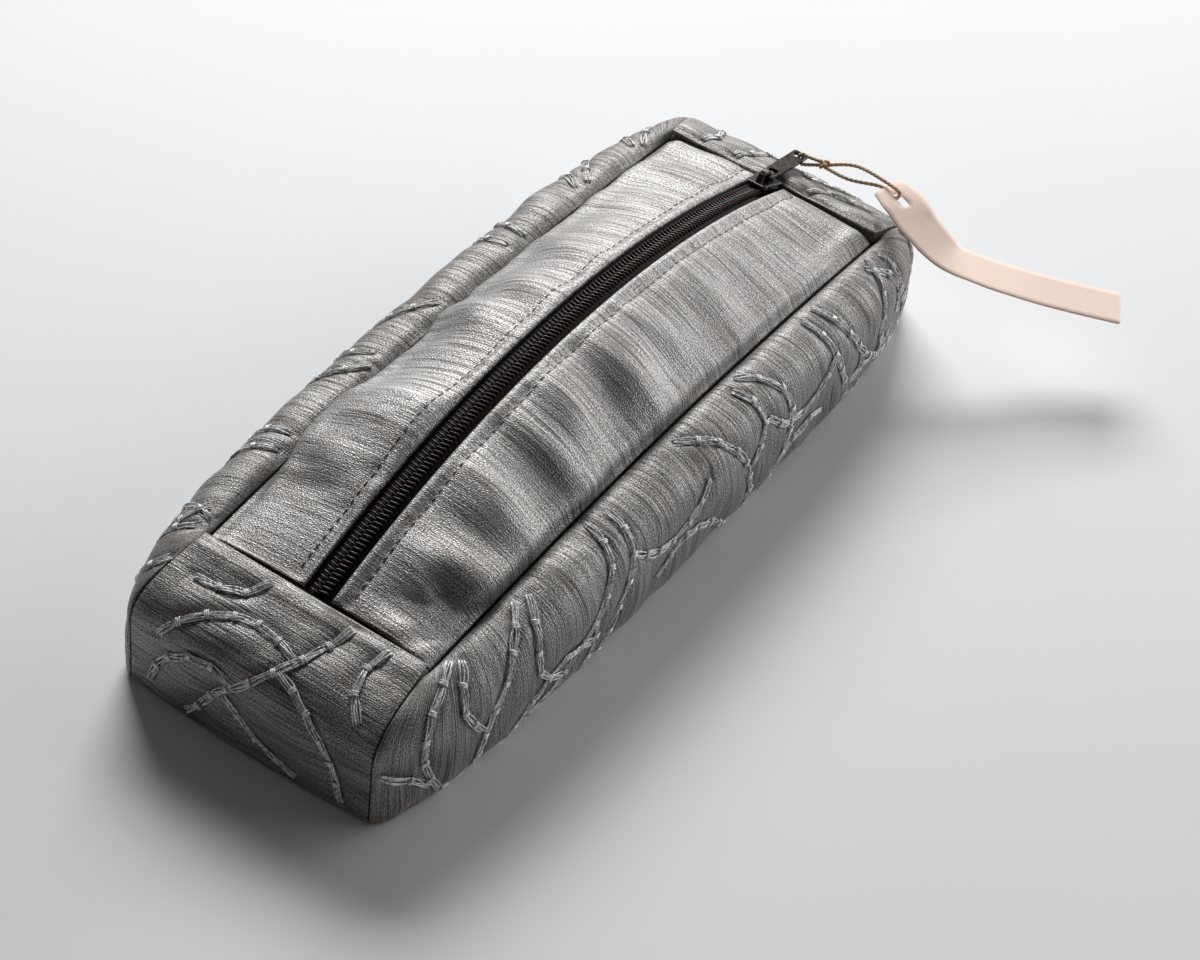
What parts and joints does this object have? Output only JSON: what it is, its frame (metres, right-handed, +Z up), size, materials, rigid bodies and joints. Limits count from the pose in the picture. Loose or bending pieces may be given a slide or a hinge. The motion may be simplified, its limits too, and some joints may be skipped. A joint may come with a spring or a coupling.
{
  "type": "pencil case",
  "caption": "Padded fabric pencil case with a curved zip along its top, rounded sides, embroidered stems on its walls and a blank card tag on twine.",
  "frame": {"origin": "middle of the footprint on the surface that the case stands on, swing tag and twine left out", "axes": "+Z up, +Y along the zip towards the closed slider, +X to the right when looking along +Y"},
  "size_m": [0.1396, 0.2509, 0.0503],
  "materials": {
    "embroidered_cloth": "slub weave with silver thread embroidery",
    "slub_cloth": "slub weave with a soft sheen",
    "wadding": "soft polyester wadding",
    "lining_cloth": "plain weave",
    "zip_tape": "woven tape",
    "zip_coil": "nylon coil",
    "dark_metal": "gunmetal plated casting",
    "twine": "twisted jute",
    "blush_card": "smooth card"
  },
  "bodies": {
    "case": {"bottom_panel": "embroidered_cloth", "side_panel_left": "embroidered_cloth", "side_panel_right": "embroidered_cloth", "end_panel_near": "embroidered_cloth", "end_panel_far": "embroidered_cloth", "base_wadding": "wadding", "side_wadding_left": "wadding", "side_wadding_right": "wadding", "end_wadding_near": "wadding", "end_wadding_far": "wadding", "lining_base": "lining_cloth", "lining_side_left": "lining_cloth", "lining_side_right": "lining_cloth", "lining_end_near": "lining_cloth", "lining_end_far": "lining_cloth"},
    "flap_left": {"top_panel_left": "slub_cloth", "lining_top_left": "lining_cloth", "zip_tape_left": "zip_tape", "zip_coil_left": "zip_coil"},
    "flap_right": {"top_panel_right": "slub_cloth", "lining_top_right": "lining_cloth", "zip_tape_right": "zip_tape", "zip_coil_right": "zip_coil"},
    "slider": {"slider_body": "dark_metal"},
    "pull": {"pull_tab": "dark_metal"},
    "twine": {"pull_twine": "twine", "twine_knot": "twine", "tag_twine": "twine"},
    "tag": {"swing_tag": "blush_card"}
  },
  "joints": [
    {"name": "slider_travel", "type": "hinge", "parent": "case", "child": "slider", "pos_m": [0, 0.0035, -0.197], "axis": [1, 0, 0], "range_deg": [0, 41.6], "deforming": ["zip_tape_left", "zip_coil_left", "zip_tape_right", "zip_coil_right"]},
    {"name": "flap_left", "type": "hinge", "parent": "case", "child": "flap_left", "pos_m": [-0.03165, 0.0035, 0.035], "axis": [0, -1, 0], "range_deg": [0, 14], "deforming": ["zip_tape_left", "zip_coil_left"]},
    {"name": "flap_right", "type": "hinge", "parent": "case", "child": "flap_right", "pos_m": [0.03165, 0.0035, 0.035], "axis": [0, 1, 0], "range_deg": [0, 14], "deforming": ["zip_tape_right", "zip_coil_right"]},
    {"name": "pull_flip", "type": "hinge", "parent": "slider", "child": "pull", "pos_m": [0, 0.09465, 0.03525], "axis": [1, 0, 0], "range_deg": [0, 150]},
    {"name": "twine_swing", "type": "hinge", "parent": "pull", "child": "twine", "pos_m": [0, 0.11089, 0.03179], "axis": [1, 0, 0], "range_deg": [-150, 0], "deforming": ["pull_twine"]},
    {"name": "tag_swing", "type": "hinge", "parent": "twine", "child": "tag", "pos_m": [0.03206, 0.10926, 0.03568], "axis": [1, 0, 0], "range_deg": [-41.6, 0], "deforming": ["tag_twine"]}
  ],
  "couplings": [
    {"joint": "flap_left", "follows": "slider_travel", "ratio": 0.3365},
    {"joint": "flap_right", "follows": "slider_travel", "ratio": 0.3365},
    {"joint": "twine_swing", "follows": "pull_flip", "ratio": -1},
    {"joint": "tag_swing", "follows": "slider_travel", "ratio": -1}
  ]
}
